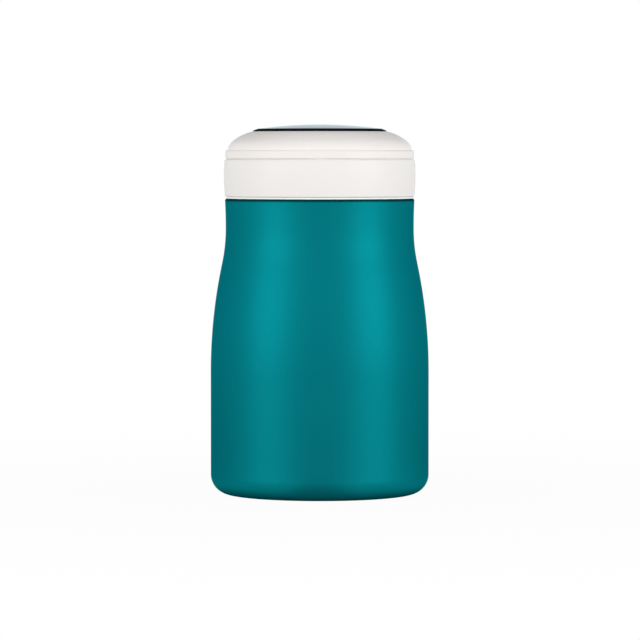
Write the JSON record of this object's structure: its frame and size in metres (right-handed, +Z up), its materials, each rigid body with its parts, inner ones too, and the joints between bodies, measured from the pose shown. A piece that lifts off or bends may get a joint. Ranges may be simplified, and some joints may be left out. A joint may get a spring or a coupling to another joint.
{
  "type": "insulated coffee cup",
  "caption": "Waisted double-wall steel coffee cup with a screw-on collar, a drinking spout and a domed lid, hinged at the back, whose stopper closes the spout.",
  "frame": {"origin": "on the table under the middle of the base", "axes": "+Z up along the cup's axis, -Y towards the front, +Y towards the lid's hinge"},
  "size_m": [0.08, 0.08, 0.1355],
  "materials": {
    "teal_coat": "satin powder coat",
    "bare_steel": "electropolished inside, fine turning marks",
    "cover_steel": "spun brushed",
    "solder_glass": "fused bead",
    "getter_metal": "sintered",
    "white_plastic": "fine moulded matt",
    "core_plastic": "smooth moulded",
    "black_gloss": "polished",
    "silicone": "soft matt",
    "foam": "cut foam",
    "tape": "adhesive tape",
    "screw_steel": "bright"
  },
  "bodies": {
    "cup": {"outer_shell": "teal_coat", "inner_liner": "bare_steel", "liner_base": "bare_steel", "base_plate": "bare_steel", "base_cover": "cover_steel", "vacuum_seal": "solder_glass", "getter": "getter_metal", "neck_ring": "silicone"},
    "mouth_seal": {"mouth_seal": "silicone"},
    "collar": {"mouthpiece": "core_plastic", "collar_skirt": "white_plastic", "hinge_pin": "screw_steel"},
    "lid": {"lid_band": "white_plastic", "lid_dome": "white_plastic", "lid_disc": "black_gloss", "disc_pad": "tape", "stopper": "core_plastic", "stopper_seal": "silicone", "stopper_foam": "foam", "lid_screws": "screw_steel"}
  },
  "joints": [
    {"name": "collar_lift", "type": "slide", "parent": "cup", "child": "mouth_seal", "axis": [0, 0, 1], "range_m": [0, 0.0105]},
    {"name": "collar_turn", "type": "hinge", "parent": "mouth_seal", "child": "collar", "pos_m": [0, 0, 0.12], "axis": [0, 0, 1], "range_deg": [0, 900]},
    {"name": "lid_hinge", "type": "hinge", "parent": "collar", "child": "lid", "pos_m": [0, 0.0373, 0.12287], "axis": [-1, 0, 0], "range_deg": [0, 115]}
  ],
  "couplings": [
    {"joint": "collar_lift", "follows": "collar_turn", "m_per_rad": 0.00066845}
  ]
}
